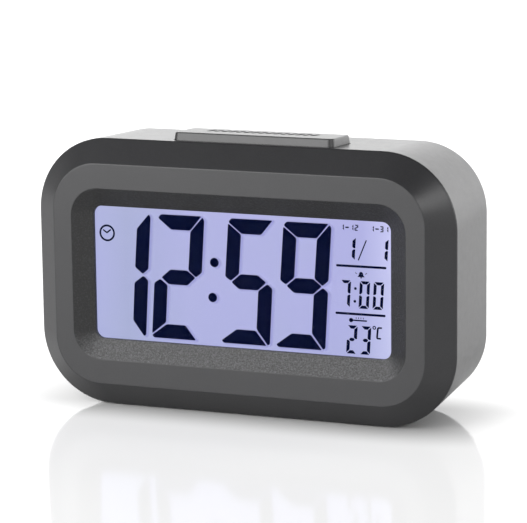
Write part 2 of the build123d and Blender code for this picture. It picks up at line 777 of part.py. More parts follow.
    # Snooze opening and the posts of its board
    with BuildSketch(top_layer(snooze_board_top)):
        with Locations(*snooze_posts):
            Circle(key_post_r)
    extrude(amount=-snooze_board_top - wall / 2)
    with BuildSketch(top_layer(-wall - snooze_proud / 2)):
        RectangleRounded(snooze_width + 2 * snooze_clearance, snooze_depth + 2 * snooze_clearance,
                         snooze_corner_r + snooze_clearance)
    extrude(amount=wall + snooze_proud, mode=Mode.SUBTRACT)
    with BuildSketch(top_layer(snooze_board_top)):
        with Locations(*snooze_posts):
            Circle(small_screw_r + fit_gap)
    extrude(amount=small_screw_length - board_thickness + screw_tip, mode=Mode.SUBTRACT)
    # Pockets for the feet
    for behind in (front_foot, rear_foot):
        with BuildSketch(Plane.XY.offset(foot_top[behind])):
            with Locations((-foot_x, behind - depth / 2), (foot_x, behind - depth / 2)):
                RectangleRounded(foot_width + 2 * foot_play, foot_depth + 2 * foot_play,
                                 foot_corner_r + foot_play)
        extrude(amount=-foot_top[behind], mode=Mode.SUBTRACT)
save(rear_housing, "rear_housing")

screws("housing_screws", rearward(boss_end + well_floor, z=mid_z), mirrored(corner_bosses), housing_screw_r,
       housing_head_r, housing_head_h, housing_screw_length)

# Rubber feet
for name, behind in (("front_feet", front_foot), ("rear_feet", rear_foot)):
    with BuildPart() as feet:
        with BuildSketch(Plane.XY):
            with Locations((-foot_x, behind - depth / 2), (foot_x, behind - depth / 2)):
                RectangleRounded(foot_width, foot_depth, foot_corner_r)
        extrude(amount=foot_top[behind])
    save(feet, name)

# Key board, its push switches and its slide switch
with BuildPart() as key_board:
    with BuildSketch(layer(key_board_rear - board_thickness, x=key_board_x, z=control_z)):
        RectangleRounded(key_board_width, key_board_height, board_corner_r)
        with Locations(*key_corners):
            Circle(small_screw_r + screw_clearance, mode=Mode.SUBTRACT)
    extrude(amount=-board_thickness)
save(key_board, "key_board")

screws("key_board_screws", layer(key_board_rear - board_thickness, x=key_board_x, z=control_z), key_corners,
       small_screw_r, small_head_r, small_head_h, small_screw_length)


def push_switches(name, plane, spots, travel):
    """Square push-switch bodies on a plane, each with the bore its plunger sinks into."""
    with BuildPart() as bodies:
        with BuildSketch(plane):
            with Locations(*spots):
                RectangleRounded(switch_side, switch_side, 0.4)
        extrude(amount=switch_body)
        with BuildSketch(plane.offset(switch_height - plunger_length - travel - plunger_spare)):
            with Locations(*spots):
                Circle(plunger_r + plunger_clearance)
        extrude(amount=switch_height, mode=Mode.SUBTRACT)
    save(bodies, name)


def plungers(name, plane, spots):
    """Round plungers of push switches, at rest with their tops at the switch height."""
    with BuildPart() as pins:
        with BuildSketch(plane.offset(switch_height - plunger_length)):
            with Locations(*spots):
                Circle(plunger_r)
        extrude(amount=plunger_length)
    save(pins, name)


key_plane = rearward(key_board_rear, z=control_z)
push_switches("key_switches", key_plane, [(-x, 0) for x in button_xs.values()], button_travel)

button_face = depth - button_sunk

for name, x in button_xs.items():
    plungers(f"{name}_plunger", key_plane, [(-x, 0)])
    with BuildPart() as button:
        with BuildSketch(rearward(switch_top, x=x, z=control_z)):
            Circle(button_stem_r)
        extrude(amount=flange_front - switch_top)
        with BuildSketch(rearward(flange_front, x=x, z=control_z)):
            Circle(button_r + button_rim)
        extrude(amount=button_flange)
        with BuildSketch(rearward(flange_front, x=x, z=control_z)):
            Circle(button_r)
        extrude(amount=button_face - flange_front)
        fillet(button.edges().filter_by(GeomType.CIRCLE).sort_by(Axis.Y)[-1], button_edge_r)
    save(button, f"{name}_button")

lever_bottom = key_board_rear + lever_foot
lever_top = flange_front + lever_grip
knob_front = control_floor + button_play

with BuildPart() as slide_switch:
    with BuildSketch(rearward(key_board_rear, x=slider_mid, z=control_z)):
        Rectangle(slide_body_w, slide_body_h)
    extrude(amount=slide_body)
    with BuildSketch(rearward(key_board_rear + slide_floor, x=slider_mid, z=control_z)):
        Rectangle(lever_side + slider_travel + 2 * lever_play, lever_side + 2 * lever_play)
    extrude(amount=slide_body, mode=Mode.SUBTRACT)
save(slide_switch, "slide_switch")

with BuildPart() as slide_switch_lever:
    with BuildSketch(rearward(lever_bottom, x=slider_x, z=control_z)):
        Rectangle(lever_side, lever_side)
    extrude(amount=lever_top - lever_bottom)
save(slide_switch_lever, "slide_switch_lever")

with BuildPart() as alarm_slider:
    with BuildSketch(rearward(flange_front, x=slider_x, z=control_z)):
        Rectangle(slider_flange, slider_height + 2 * slider_margin)
    extrude(amount=button_flange)
    with BuildSketch(rearward(flange_front, x=slider_x, z=control_z)):
        Rectangle(slider_neck, slider_neck)
    extrude(amount=knob_front - flange_front)
    with BuildSketch(rearward(knob_front, x=slider_x, z=control_z)):
        RectangleRounded(slider_length, slider_height, button_edge_r)
    extrude(amount=button_face - knob_front)
    with BuildSketch(rearward(button_face, x=slider_x, z=control_z)):
        with GridLocations(grip_pitch, 1, grip_count, 1):
            Rectangle(grip_groove, slider_height)
    extrude(amount=-slider_groove, mode=Mode.SUBTRACT)
    with BuildSketch(rearward(flange_front, x=slider_x, z=control_z)):
        Rectangle(lever_side + 2 * fit_gap, lever_side + 2 * fit_gap)
    extrude(amount=lever_grip + fit_gap, mode=Mode.SUBTRACT)
save(alarm_slider, "alarm_slider")

# Snooze bar, its board and its two push switches
snooze_spots = [(-snooze_switch_x, 0), (snooze_switch_x, 0)]

with BuildPart() as snooze_bar:
    with BuildSketch(top_layer(snooze_flange_bottom)):
        RectangleRounded(snooze_width, snooze_depth, snooze_corner_r)
    extrude(amount=-snooze_flange_bottom)
    with BuildSketch(top_layer(0)):
        RectangleRounded(snooze_width, snooze_depth, snooze_corner_r)
    extrude(amount=snooze_proud, taper=snooze_taper)
    fillet(snooze_bar.faces().sort_by(Axis.Z)[-1].edges(), snooze_edge_r)
    with BuildSketch(top_layer(snooze_flange_bottom)):
        Rectangle(snooze_width + 2 * snooze_flange, snooze_depth - 2 * snooze_corner_r)
    extrude(amount=snooze_flange_top - snooze_flange_bottom)
    with BuildSketch(top_layer(snooze_flange_bottom)):
        RectangleRounded(snooze_width - 2 * snooze_wall, snooze_depth - 2 * snooze_wall,
                         snooze_corner_r / 2)
    extrude(amount=snooze_proud - snooze_wall - snooze_flange_bottom, mode=Mode.SUBTRACT)
    with BuildSketch(top_layer(snooze_switch_top)):
        with Locations(*snooze_spots):
            Circle(snooze_post_r)
    extrude(amount=snooze_proud - snooze_wall / 2 - snooze_switch_top)
    with BuildSketch(top_layer(snooze_flange_bottom)):
        with Locations((-snooze_rib_x, 0), (snooze_rib_x, 0)):
            Rectangle(snooze_rib, snooze_depth - snooze_wall)
    extrude(amount=snooze_proud - snooze_wall / 2 - snooze_flange_bottom)
save(snooze_bar, "snooze_bar")

with BuildPart() as snooze_board:
    with BuildSketch(top_layer(snooze_board_top - board_thickness)):
        RectangleRounded(snooze_board_length, snooze_board_depth, board_corner_r)
        with Locations(*snooze_posts):
            Circle(small_screw_r + screw_clearance, mode=Mode.SUBTRACT)
    extrude(amount=board_thickness)
save(snooze_board, "snooze_board")

push_switches("snooze_switches", top_layer(snooze_board_top), snooze_spots, snooze_travel)
plungers("snooze_plungers", top_layer(snooze_board_top), snooze_spots)

under_board = top_layer(snooze_board_top - board_thickness)
screw_plane = Plane(origin=under_board.origin, x_dir=(1, 0, 0), z_dir=-under_board.z_dir)
screws("snooze_board_screws", screw_plane, snooze_posts, small_screw_r, small_head_r, small_head_h,
       small_screw_length)

# Battery cover and its spring latch
cover_w = opening_w - 2 * cover_clearance
cover_h = opening_h - 2 * cover_clearance
tab_rear = rear_wall - tab_play

with BuildPart() as battery_cover:
    with BuildSketch(layer(cover_front, z=bay_z)):
        RectangleRounded(cover_w, cover_h, cover_corner_r)
    extrude(amount=-cover_thickness)
    fillet(battery_cover.faces().sort_by(Axis.Y)[-1].edges(), cover_edge_r)
    with BuildSketch(layer(tab_rear - tab_thickness, z=opening_low + (tab_root - tab_reach) / 2)):
        with Locations((-tab_x, 0), (tab_x, 0)):
            Rectangle(tab_width, tab_root + tab_reach)
    extrude(amount=-tab_thickness)
    with BuildSketch(layer(tab_rear, z=opening_low + (tab_root + cover_clearance) / 2)):
        with Locations((-tab_x, 0), (tab_x, 0)):
            Rectangle(tab_width, tab_root - cover_clearance)
    extrude(amount=tab_rear - cover_front - cover_thickness / 2)
    # Grip grooves below the latch
    with BuildSketch(layer(depth, z=opening_top - grip_drop)):
        with GridLocations(1, grip_pitch, 1, grip_count):
            Rectangle(grip_width, grip_groove)
    extrude(amount=-slider_groove, mode=Mode.SUBTRACT)
save(battery_cover, "battery_cover")

with BuildPart() as battery_cover_latch:
    root_z = opening_top - latch_root
    tip_z = opening_top + latch_rise + latch_leaf / 2
    bend_r = (tip_z - root_z) / 2
    bend_y = cover_front - latch_reach + bend_r - depth / 2
    with BuildSketch(Plane(origin=(-latch_width / 2, 0, 0), x_dir=(0, 1, 0), z_dir=(1, 0, 0))):
        with BuildLine():
            Line((cover_front - depth / 2, root_z), (bend_y, root_z))
            ThreePointArc((bend_y, root_z), (bend_y - bend_r, root_z + bend_r), (bend_y, tip_z))
            Line((bend_y, tip_z), (depth / 2 - button_sunk, tip_z))
        trace(line_width=latch_leaf)
        with Locations((rear_wall - hook_play - (depth + latch_hook_depth) / 2, tip_z + latch_hook / 2)):
            Rectangle(latch_hook_depth, latch_leaf + latch_hook)
    extrude(amount=latch_width)
save(battery_cover_latch, "battery_cover_latch")

# Cells and their contacts: three in series, turned end for end
cell_rows = [(bay_z + cell_pitch * row, 1 if row % 2 == 0 else -1) for row in (-1, 0, 1)]
contact_face = bay_length / 2 - contact_thickness

with BuildPart() as aaa_cells:
    for z, end in cell_rows:
        along = across_bay(end * contact_face, z, -end)
        with BuildSketch(along):
            Circle(cell_nub_r)
        extrude(amount=cell_nub)
        with BuildSketch(along.offset(cell_nub)):
            Circle(cell_r)
        extrude(amount=cell_length - cell_nub)
    rims = aaa_cells.edges().filter_by(GeomType.CIRCLE).filter_by(lambda edge: edge.radius > cell_nub_r + 1)
    fillet(rims, cell_edge_r)
save(aaa_cells, "aaa_cells")

with BuildPart() as battery_plate_contacts:
    for z, end in cell_rows:
        with Locations((end * (bay_length / 2 - contact_thickness / 2), cell_axis - depth / 2, z)):
            Box(contact_thickness, contact_side, contact_side)
save(battery_plate_contacts, "battery_plate_contacts")

with BuildPart() as battery_springs:
    for z, end in cell_rows:
        with Locations((-end * (bay_length / 2 - contact_thickness / 2), cell_axis - depth / 2, z)):
            Box(contact_thickness, contact_side, contact_side)
        base = across_bay(-end * contact_face, z, end)
        with BuildSketch(base):
            Circle(spring_base_r)
        with BuildSketch(base.offset(spring_length)):
            Circle(spring_tip_r)
        loft()
save(battery_springs, "battery_springs")


# Wires inside the casing
def lead(points):
    """One wire along straight runs joined by arcs as large as the runs allow."""
    runs = [(Vector(*b) - Vector(*a)) for a, b in zip(points, points[1:])]
    radii = []
    for before, after in zip(runs, runs[1:]):
        half_turn = radians(before.get_angle(after)) / 2
        radii.append(0.45 * min(before.length, after.length) / tan(half_turn))
    with BuildLine() as path:
        FilletPolyline(*points, radius=radii)
    with BuildSketch(Plane(origin=path.line @ 0, z_dir=path.line % 0)) as section:
        Circle(wire_r)
    sweep(section.sketch, path=path.line)
    length = path.wires()[0].length
    print("wire radii", [round(r, 1) for r in radii], "length", round(length, 1))
    return length


def bundle(name, routes):
    """Wires that run side by side, saved as one node; prints volume against section times length."""
    with BuildPart() as wires:
        total = sum(lead(route) for route in routes)
    print(name, round(wires.part.volume / (pi * wire_r ** 2 * total), 4))
    save(wires, name)


def at(x, behind, z):
    """A point given as X, distance behind the ring, and height."""
    return (x, behind - depth / 2, z)


bay_front = bay_floor_front - bay_floor
lead_x = bay_length / 2 - battery_lead_inset
lead_end = lead_x - battery_lead_shift
low_cell = bay_z - cell_pitch
lead_top = low_cell + battery_lead_rise
bundle("battery_leads", [
    [at(side * lead_x, bay_front, low_cell), at(side * lead_x, bay_front - battery_lead_run, low_cell),
     at(side * lead_end, bay_front - battery_lead_bend, lead_top), at(side * lead_end, board_rear, lead_top)]
    for side in (1, -1)])

key_front = key_board_rear - board_thickness
key_lead_z = control_z - key_lead_edge
key_lead_end = control_z - key_lead_drop
bundle("key_board_leads", [
    [at(x, key_front, key_lead_z), at(x, key_front - key_lead_run, key_lead_z),
     at(x, key_front - key_lead_bend, key_lead_end), at(x, board_rear, key_lead_end)]
    for x in [key_lead_x + wire_pitch * n for n in range(6)]])

board_under = snooze_board_top - board_thickness
start = top_layer(board_under).origin
bend = top_layer(board_under - snooze_lead_run).origin
bundle("snooze_leads", [
    [(x, start.Y, start.Z), (x, bend.Y, bend.Z),
     (x, bend.Y - snooze_lead_shift, bend.Z - snooze_lead_bend),
     (x, board_rear - depth / 2, bend.Z - snooze_lead_drop)]
    for x in [snooze_lead_x + wire_pitch * n for n in range(2)]])
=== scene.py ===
"""Looks of the digital alarm clock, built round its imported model.

Metres, X right, Y away from the front, Z up. Outlines of flat marks are in millimetres.
"""
import bpy
from math import atan, cos, pi, sin
from mathutils import Matrix, Vector


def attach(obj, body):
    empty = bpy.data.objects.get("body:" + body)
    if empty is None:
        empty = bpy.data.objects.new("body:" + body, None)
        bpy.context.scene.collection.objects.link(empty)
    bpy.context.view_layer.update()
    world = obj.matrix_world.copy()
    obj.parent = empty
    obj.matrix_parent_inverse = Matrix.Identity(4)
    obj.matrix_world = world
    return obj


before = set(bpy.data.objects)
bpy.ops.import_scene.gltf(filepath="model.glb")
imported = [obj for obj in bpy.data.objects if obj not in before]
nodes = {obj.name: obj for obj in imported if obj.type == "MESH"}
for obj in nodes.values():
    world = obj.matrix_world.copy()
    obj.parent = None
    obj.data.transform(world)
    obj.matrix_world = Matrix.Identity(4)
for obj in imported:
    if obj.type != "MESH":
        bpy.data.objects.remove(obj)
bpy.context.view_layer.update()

MM = 0.001
# Places on the clock, in mm
FRONT_Y = -21.5     # the bezel's foremost plane
WINDOW_Z = 42.15    # height of the window's middle


# Camera: where the picture was taken from, as the casing's outline and its window show it
def camera():
    yaw, pitch, roll = 0.3836224, 0.1911213, -0.0117431
    distance = 807.4119
    pixels_per_mm = 3.3607556    # at that distance
    picture_width = 527
    sensor_width = 36.0
    target = Vector((9.2699, FRONT_Y, 7.3712 + WINDOW_Z)) * MM
    forward = Vector((-sin(yaw) * cos(pitch), cos(yaw) * cos(pitch), -sin(pitch)))
    level = Vector((cos(yaw), sin(yaw), 0.0))
    upright = level.cross(forward)
    right = cos(roll) * level + sin(roll) * upright
    up = -sin(roll) * level + cos(roll) * upright
    data = bpy.data.cameras.new("camera")
    data.sensor_width = sensor_width
    data.lens = sensor_width * pixels_per_mm * distance / picture_width
    data.clip_start, data.clip_end = 0.05, 50.0
    cam = bpy.data.objects.new("camera", data)
    place = Matrix((right, up, -forward)).transposed().to_4x4()
    place.translation = target - forward * (distance * MM)
    cam.matrix_world = place
    bpy.context.scene.collection.objects.link(cam)
    bpy.context.scene.camera = cam


camera()


# Colours
def linear(*srgb):
    """Levels from 0 to 255 as the linear colour that a shader takes."""
    values = [c / 255 for c in srgb]
    return tuple(v / 12.92 if v <= 0.04045 else ((v + 0.055) / 1.055) ** 2.4
                 for v in values) + (1.0,)


def scaled(color, factor):
    """A linear colour made lighter or darker."""
    return tuple(c * factor for c in color[:3]) + (1.0,)


# Node trees
class Nodes:
    """A node tree with its texture coordinates at hand and short ways to add to it."""

    def __init__(self, tree, coords):
        self.tree = tree
        self.coords = self.add("ShaderNodeTexCoord").outputs[coords]

    def set(self, node, sockets):
        for key, value in sockets.items():
            node.inputs[key].default_value = value

    def link(self, output, target):
        self.tree.links.new(output, target)

    def feed(self, value, target):
        """Links an output to the socket, or sets the socket to a constant."""
        if isinstance(value, bpy.types.NodeSocket):
            self.link(value, target)
        else:
            target.default_value = value

    def add(self, kind, links=(), **sockets):
        node = self.tree.nodes.new(kind)
        self.set(node, {key.replace("_", " "): value for key, value in sockets.items()})
        for output, key in links:
            self.link(output, node.inputs[key])
        return node

    def calculate(self, operation, *operands, kind="ShaderNodeMath", result=0):
        """A Math node, or a Vector Math node, whose operands are outputs or constants."""
        node = self.tree.nodes.new(kind)
        node.operation = operation
        for slot, value in enumerate(operands):
            self.feed(value, node.inputs[slot])
        return node.outputs[result]

    def vectors(self, operation, *operands, result="Vector"):
        return self.calculate(operation, *operands, kind="ShaderNodeVectorMath", result=result)

    def axes(self, vector):
        return self.add("ShaderNodeSeparateXYZ", [(vector, "Vector")]).outputs

    def remap(self, value, interpolation="LINEAR", **sockets):
        node = self.add("ShaderNodeMapRange", [(value, "Value")], **sockets)
        node.interpolation_type = interpolation
        return node.outputs["Result"]

    def noise(self, scale, detail=3.0, coords=None, rough=0.5):
        node = self.add("ShaderNodeTexNoise", Scale=scale, Detail=detail, Roughness=rough)
        self.link(coords or self.coords, node.inputs["Vector"])
        return node.outputs["Fac"]

    def stretch(self, *scale):
        node = self.tree.nodes.new("ShaderNodeMapping")
        node.inputs["Scale"].default_value = scale
        self.link(self.coords, node.inputs["Vector"])
        return node.outputs["Vector"]

    def ramp(self, factor, *stops):
        node = self.tree.nodes.new("ShaderNodeValToRGB")
        while len(node.color_ramp.elements) < len(stops):
            node.color_ramp.elements.new(0.5)
        for element, (at, color) in zip(node.color_ramp.elements, stops):
            element.position = at
            element.color = color
        self.link(factor, node.inputs["Fac"])
        return node.outputs["Color"]

    def grey(self, factor, *stops):
        return self.ramp(factor, *[(at, (v, v, v, 1.0)) for at, v in stops])

    def mix(self, factor, a, b, blend="MIX"):
        node = self.tree.nodes.new("ShaderNodeMix")
        node.data_type, node.blend_type = "RGBA", blend
        # Sockets 0, 6 and 7 are the factor and the two colours, and output 2 is the colour
        for slot, value in ((0, factor), (6, a), (7, b)):
            self.feed(value, node.inputs[slot])
        return node.outputs[2]

    def direct(self):
        """1 for rays that show the thing itself: seen, mirrored or through glass. Else 0."""
        rays = self.add("ShaderNodeLightPath").outputs
        seen = self.calculate("MAXIMUM", rays["Is Camera Ray"], rays["Is Glossy Ray"])
        return self.calculate("MAXIMUM", seen, rays["Is Transmission Ray"])


class Shader(Nodes):
    """A Principled material with object coordinates."""

    def __init__(self, name, color, rough, **sockets):
        self.mat = bpy.data.materials.new(name)
        self.mat.use_nodes = True
        super().__init__(self.mat.node_tree, "Object")
        self.bsdf = self.tree.nodes["Principled BSDF"]
        self.set(self.bsdf, {"Base Color": color, "Roughness": rough, **sockets})

    def drive(self, key, output):
        self.link(output, self.bsdf.inputs[key])
        return self

    def driver_of(self, key):
        return self.bsdf.inputs[key].links[0].from_socket

    def bump(self, height, strength, distance, normal=None):
        node = self.tree.nodes.new("ShaderNodeBump")
        self.set(node, {"Strength": strength, "Distance": distance})
        self.link(height, node.inputs["Height"])
        if normal is not None:
            self.link(normal, node.inputs["Normal"])
        return node.outputs["Normal"]

    def rounded(self, radius):
        """Normals that shade edges as if they were rounded by this radius."""
        node = self.tree.nodes.new("ShaderNodeBevel")
        node.samples = 6
        node.inputs["Radius"].default_value = radius
        return node.outputs["Normal"]


# Materials
def moulded(name, dark, light, rough, grain=0.00003, edge=0.00022):
    """Spark-eroded moulding: fine pits, faint clouding, edges polished by handling."""
    s = Shader(name, dark, rough)
    pits = s.noise(3400.0, 2.0, rough=0.65)
    clouds = s.noise(30.0)
    tone = s.mix(s.grey(clouds, (0.25, 0.0), (0.8, 1.0)), dark, light)
    flecks = s.grey(pits, (0.44, 0.0), (0.74, 1.0))
    s.drive("Base Color", s.mix(flecks, tone, scaled(light, 1.3)))
    wear = s.noise(420.0)
    s.drive("Roughness", s.grey(wear, (0.25, rough - 0.015), (0.8, rough + 0.02)))
    return s.drive("Normal", s.bump(pits, 0.55, grain, s.rounded(edge)))


def rubber(name, color):
    """Soft black rubber with a little dust in its pores."""
    s = Shader(name, color, 0.85)
    dust = s.grey(s.noise(900.0, 4.0), (0.45, 0.0), (0.8, 0.5))
    s.drive("Base Color", s.mix(dust, color, linear(74, 73, 71)))
    return s.drive("Normal", s.bump(s.noise(2600.0, 2.0), 0.4, 0.00004, s.rounded(0.0003)))


def metal(name, color, rough, stretch=(1, 1, 1)):
    """Plated or drawn metal, its texture finer along the axis with the larger scale."""
    s = Shader(name, color, rough, Metallic=1.0)
    brushed = s.noise(2500.0, 3.0, s.stretch(*stretch))
    s.drive("Roughness", s.grey(brushed, (0.3, rough - 0.08), (0.75, rough + 0.12)))
    dull = s.grey(s.noise(500.0), (0.4, 0.0), (0.8, 0.35))
    s.drive("Base Color", s.mix(dull, color, scaled(color, 0.6)))
    return s.drive("Normal", s.bump(brushed, 0.2, 0.00001, s.rounded(0.0001)))


def plain(name, color, rough, scale=1500.0):
    """Small moulded, coated or printed parts: slight mottling and a soft surface."""
    s = Shader(name, color, rough)
    spots = s.noise(scale)
    mottle = s.grey(spots, (0.35, 0.0), (0.8, 1.0))
    s.drive("Base Color", s.mix(mottle, color, scaled(color, 0.72)))
    return s.drive("Normal", s.bump(spots, 0.2, 0.00002))


def display_film():
    """Backlit film: lavender, duller near the left edge, brighter at the right and top."""
    s = Shader("lit_film", linear(6, 6, 8), 0.6)
    s.set(s.bsdf, {"Emission Strength": 1.0, "Specular IOR Level": 0.1})
    place = s.axes(s.coords)
    across = s.remap(place["X"], From_Min=-0.048, From_Max=0.048)
    columns = s.ramp(across,
                     (0.0, linear(178, 181, 226)), (0.1, linear(170, 175, 214)),
                     (0.32, linear(179, 180, 226)), (0.62, linear(178, 179, 225)),
                     (0.9, linear(178, 178, 227)), (1.0, linear(206, 206, 246)))
    up = s.remap(place["Z"], From_Min=0.0213, From_Max=0.0630)
    rows = s.ramp(up, (0.0, (0.97, 0.99, 0.97, 1)), (0.5, (1, 1, 1, 1)),
                  (0.93, (1, 1, 1, 1)), (1.0, (1.07, 1.05, 1.02, 1)))
    light = s.mix(1.0, columns, rows, "MULTIPLY")
    patches = s.grey(s.noise(42.0, 2.0), (0.35, 0.0), (0.7, 1.0))
    uneven = s.mix(patches, light, linear(178, 184, 216))
    return s.drive("Emission Color", s.mix(0.3, light, uneven))


def crystal_ink():
    """A darkened segment: deep navy, a little uneven as liquid crystal is."""
    s = Shader("segment_navy", linear(4, 6, 20), 0.6)
    s.set(s.bsdf, {"Specular IOR Level": 0.0, "Emission Strength": 1.0})
    cell = s.grey(s.noise(260.0, 2.0), (0.3, 0.0), (0.75, 1.0))
    # Its dim navy emission is painted backlight glowing through the darkened segment
    return s.drive("Emission Color", s.mix(cell, linear(0, 3, 28), linear(4, 9, 38)))


def segment_shade():
    """The soft shadow a segment throws on the film behind it, fading to its rim."""
    s = Shader("segment_shade", linear(6, 6, 8), 0.7)
    s.set(s.bsdf, {"Emission Color": linear(146, 145, 208), "Emission Strength": 1.0,
                   "Specular IOR Level": 0.0})
    fade = s.tree.nodes.new("ShaderNodeAttribute")
    fade.attribute_name = "fade"
    return s.drive("Alpha", s.remap(fade.outputs["Fac"], "SMOOTHSTEP", To_Max=0.55))


def clear(name, tint, ior):
    """Glass or acrylic with faint smears."""
    s = Shader(name, tint, 0.02)
    s.set(s.bsdf, {"Transmission Weight": 1.0, "IOR": ior})
    smears = s.noise(60.0, 4.0, s.stretch(1.0, 1.0, 0.3))
    return s.drive("Roughness", s.grey(smears, (0.4, 0.01), (0.8, 0.05)))


# The slopes round the window lie in this box: axis, middle and half size
RECESS = (("X", 0.0, 0.0541), ("Z", 0.04215, 0.0267), ("Y", -0.0191, 0.00236))


def grained_recess(s, pit_and_shade, spark, dust):
    """Makes the slopes round the window coarser than the rest of the bezel, with pits darker
    as painted shade and the upward slope paler with dust and painted light.
    """
    place = s.axes(s.coords)

    def within(axis, middle, half):
        off = s.calculate("ABSOLUTE", s.calculate("SUBTRACT", place[axis], middle))
        return s.calculate("LESS_THAN", off, half)

    width, height, depth = [within(*side) for side in RECESS]
    grain_light_and_shade_mask = s.calculate("MULTIPLY", s.calculate("MULTIPLY", width, height), depth)
    grain = s.noise(1900.0, 3.0, rough=0.7)
    # Coarse grain with pits darker than the rest of the bezel: grain, partly painted shade in
    # the recess
    grain_and_shade = s.mix(s.grey(grain, (0.5, 0.0), (0.68, 1.0)), pit_and_shade, spark)
    # Fine dust and painted light lie on the slope that faces up, as paler specks
    dust_and_light = s.mix(s.grey(grain, (0.42, 0.0), (0.66, 1.0)), spark, dust)
    facing = s.axes(s.add("ShaderNodeNewGeometry").outputs["Normal"])
    lit_upward = s.remap(facing["Z"], From_Min=0.1, From_Max=0.5)
    grain_light_and_shade = s.mix(lit_upward, grain_and_shade, dust_and_light)
    s.drive("Base Color", s.mix(grain_light_and_shade_mask, s.driver_of("Base Color"), grain_light_and_shade))
    coarse = s.calculate("MULTIPLY", grain_light_and_shade_mask, grain)
    return s.drive("Normal", s.bump(coarse, 1.0, 0.0002, s.driver_of("Normal")))


# The case: its window slopes get dark pits as painted shade, and paler specks on the upward
# slope as dust and painted light
case = grained_recess(
    moulded("case_abs", linear(34, 34, 36), linear(40, 40, 42), 0.32, edge=0.0004),
    linear(14, 14, 15), linear(44, 44, 45), linear(88, 88, 90))
snooze = moulded("snooze_abs", linear(28, 28, 29), linear(33, 33, 34), 0.33,
                 grain=0.000006, edge=0.0006)
snooze.set(snooze.bsdf, {"IOR": 1.62})
cover = moulded("cover_abs", linear(48, 48, 49), linear(57, 57, 58), 0.4)
button = moulded("button_abs", linear(70, 70, 72), linear(80, 80, 82), 0.38, grain=0.00002)
lens = clear("window_acrylic", (0.97, 0.98, 1.0, 1.0), 1.06)
glass = clear("cell_glass", (0.93, 0.97, 0.96, 1.0), 1.3)
board = plain("board_green", (0.02, 0.16, 0.06, 1.0), 0.35, 900.0)
white = plain("white_moulding", linear(226, 226, 220), 0.5)
black = plain("black_moulding", linear(26, 26, 27), 0.45)
ivory = plain("ivory_moulding", linear(214, 208, 192), 0.45)
steel = metal("zinc_steel", linear(188, 188, 184), 0.32)
nickel = metal("nickel", linear(205, 200, 190), 0.26, (1, 12, 1))
can = metal("crystal_can", linear(200, 200, 202), 0.22, (12, 1, 1))
wrap = plain("cell_wrap", linear(160, 164, 170), 0.28, 300.0)
foot = rubber("foot_rubber", linear(34, 34, 35))
film = display_film()
rear_film = plain("rear_film", linear(150, 152, 164), 0.3)
frosted = plain("frosted_film", linear(236, 236, 240), 0.6)
mirror = plain("reflector_film", linear(240, 240, 240), 0.2)
led = plain("led_body", linear(240, 232, 190), 0.35)
graphite = plain("contact_rubber", linear(96, 96, 99), 0.7)
resin = plain("resin", linear(20, 20, 20), 0.3)
sleeve = plain("capacitor_sleeve", linear(22, 26, 72), 0.28)
bead = plain("sensor_bead", linear(70, 28, 20), 0.3)
red_wire = plain("wire_red", (0.6, 0.03, 0.02, 1.0), 0.4)
grey_wire = plain("wire_grey", linear(150, 150, 150), 0.4)
white_wire = plain("wire_white", linear(226, 226, 224), 0.4)
ink = crystal_ink()
shade = segment_shade()
print_ink = plain("print_dark", linear(30, 30, 32), 0.9, 3000.0)
print_ink.set(print_ink.bsdf, {"Specular IOR Level": 0.05})
print_pale = plain("print_pale", linear(176, 176, 178), 0.6, 3000.0)

KEYS = ("mode", "set", "up", "down")
finish = {
    case: ["front_bezel", "rear_housing"],
    snooze: ["snooze_bar"],
    cover: ["battery_cover", "battery_cover_latch"],
    button: ["alarm_slider"] + [f"{key}_button" for key in KEYS],
    lens: ["display_window"],
    film: ["lcd_front_polarizer"],
    glass: ["lcd_front_glass", "lcd_rear_glass", "light_guide"],
    rear_film: ["lcd_rear_polarizer"],
    frosted: ["diffuser_sheet"],
    mirror: ["reflector_sheet"],
    led: ["backlight_leds"],
    white: ["lcd_frame"],
    graphite: ["zebra_strip"],
    board: ["main_board", "key_board", "snooze_board", "backlight_board"],
    steel: ["lcd_frame_screws", "main_board_screws", "housing_screws",
            "key_board_screws", "snooze_board_screws"],
    resin: ["driver_chip"],
    can: ["quartz_crystal"],
    sleeve: ["capacitors"],
    black: ["buzzer", "key_switches", "slide_switch", "snooze_switches", "chip_resistors"],
    ivory: ["slide_switch_lever", "snooze_plungers"] + [f"{key}_plunger" for key in KEYS],
    bead: ["temperature_sensor"],
    foot: ["front_feet", "rear_feet"],
    wrap: ["aaa_cells"],
    nickel: ["battery_plate_contacts", "battery_springs"],
    red_wire: ["battery_leads"],
    grey_wire: ["key_board_leads"],
    white_wire: ["snooze_leads"],
}
for shader, names in finish.items():
    for name in names:
        mesh = nodes[name].data
        mesh.materials.clear()
        mesh.materials.append(shader.mat)


# Flat marks, each a set of outlines in one plane
def flat_piece(name, outlines, to_world, shader, body, fades=None):
    """Outlines are lists of (across, up) in mm; to_world places such a point in metres."""
    verts, faces = [], []
    for outline in outlines:
        faces.append(list(range(len(verts), len(verts) + len(outline))))
        verts += [to_world(*p) for p in outline]
    mesh = bpy.data.meshes.new(name)
    mesh.from_pydata(verts, [], faces)
    if fades:
        values = [value for fade in fades for value in fade]
        mesh.attributes.new("fade", "FLOAT", "POINT").data.foreach_set("value", values)
    mesh.materials.append(shader.mat)
    mesh.update()
    piece = bpy.data.objects.new(name, mesh)
    bpy.context.scene.collection.objects.link(piece)
    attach(piece, body)


def on_circle(cx, cz, r, t):
    return (cx + r * cos(t), cz + r * sin(t))


def ring(cx, cz, outer, inner, sides=48):
    """A flat ring as quads."""
    out = []
    for i in range(sides):
        a, b = 2 * pi * i / sides, 2 * pi * (i + 1) / sides
        corners = ((outer, a), (outer, b), (inner, b), (inner, a))
        out.append([on_circle(cx, cz, r, t) for r, t in corners])
    return out


def disc(cx, cz, r, sides=40):
    return [on_circle(cx, cz, r, 2 * pi * i / sides) for i in range(sides)]


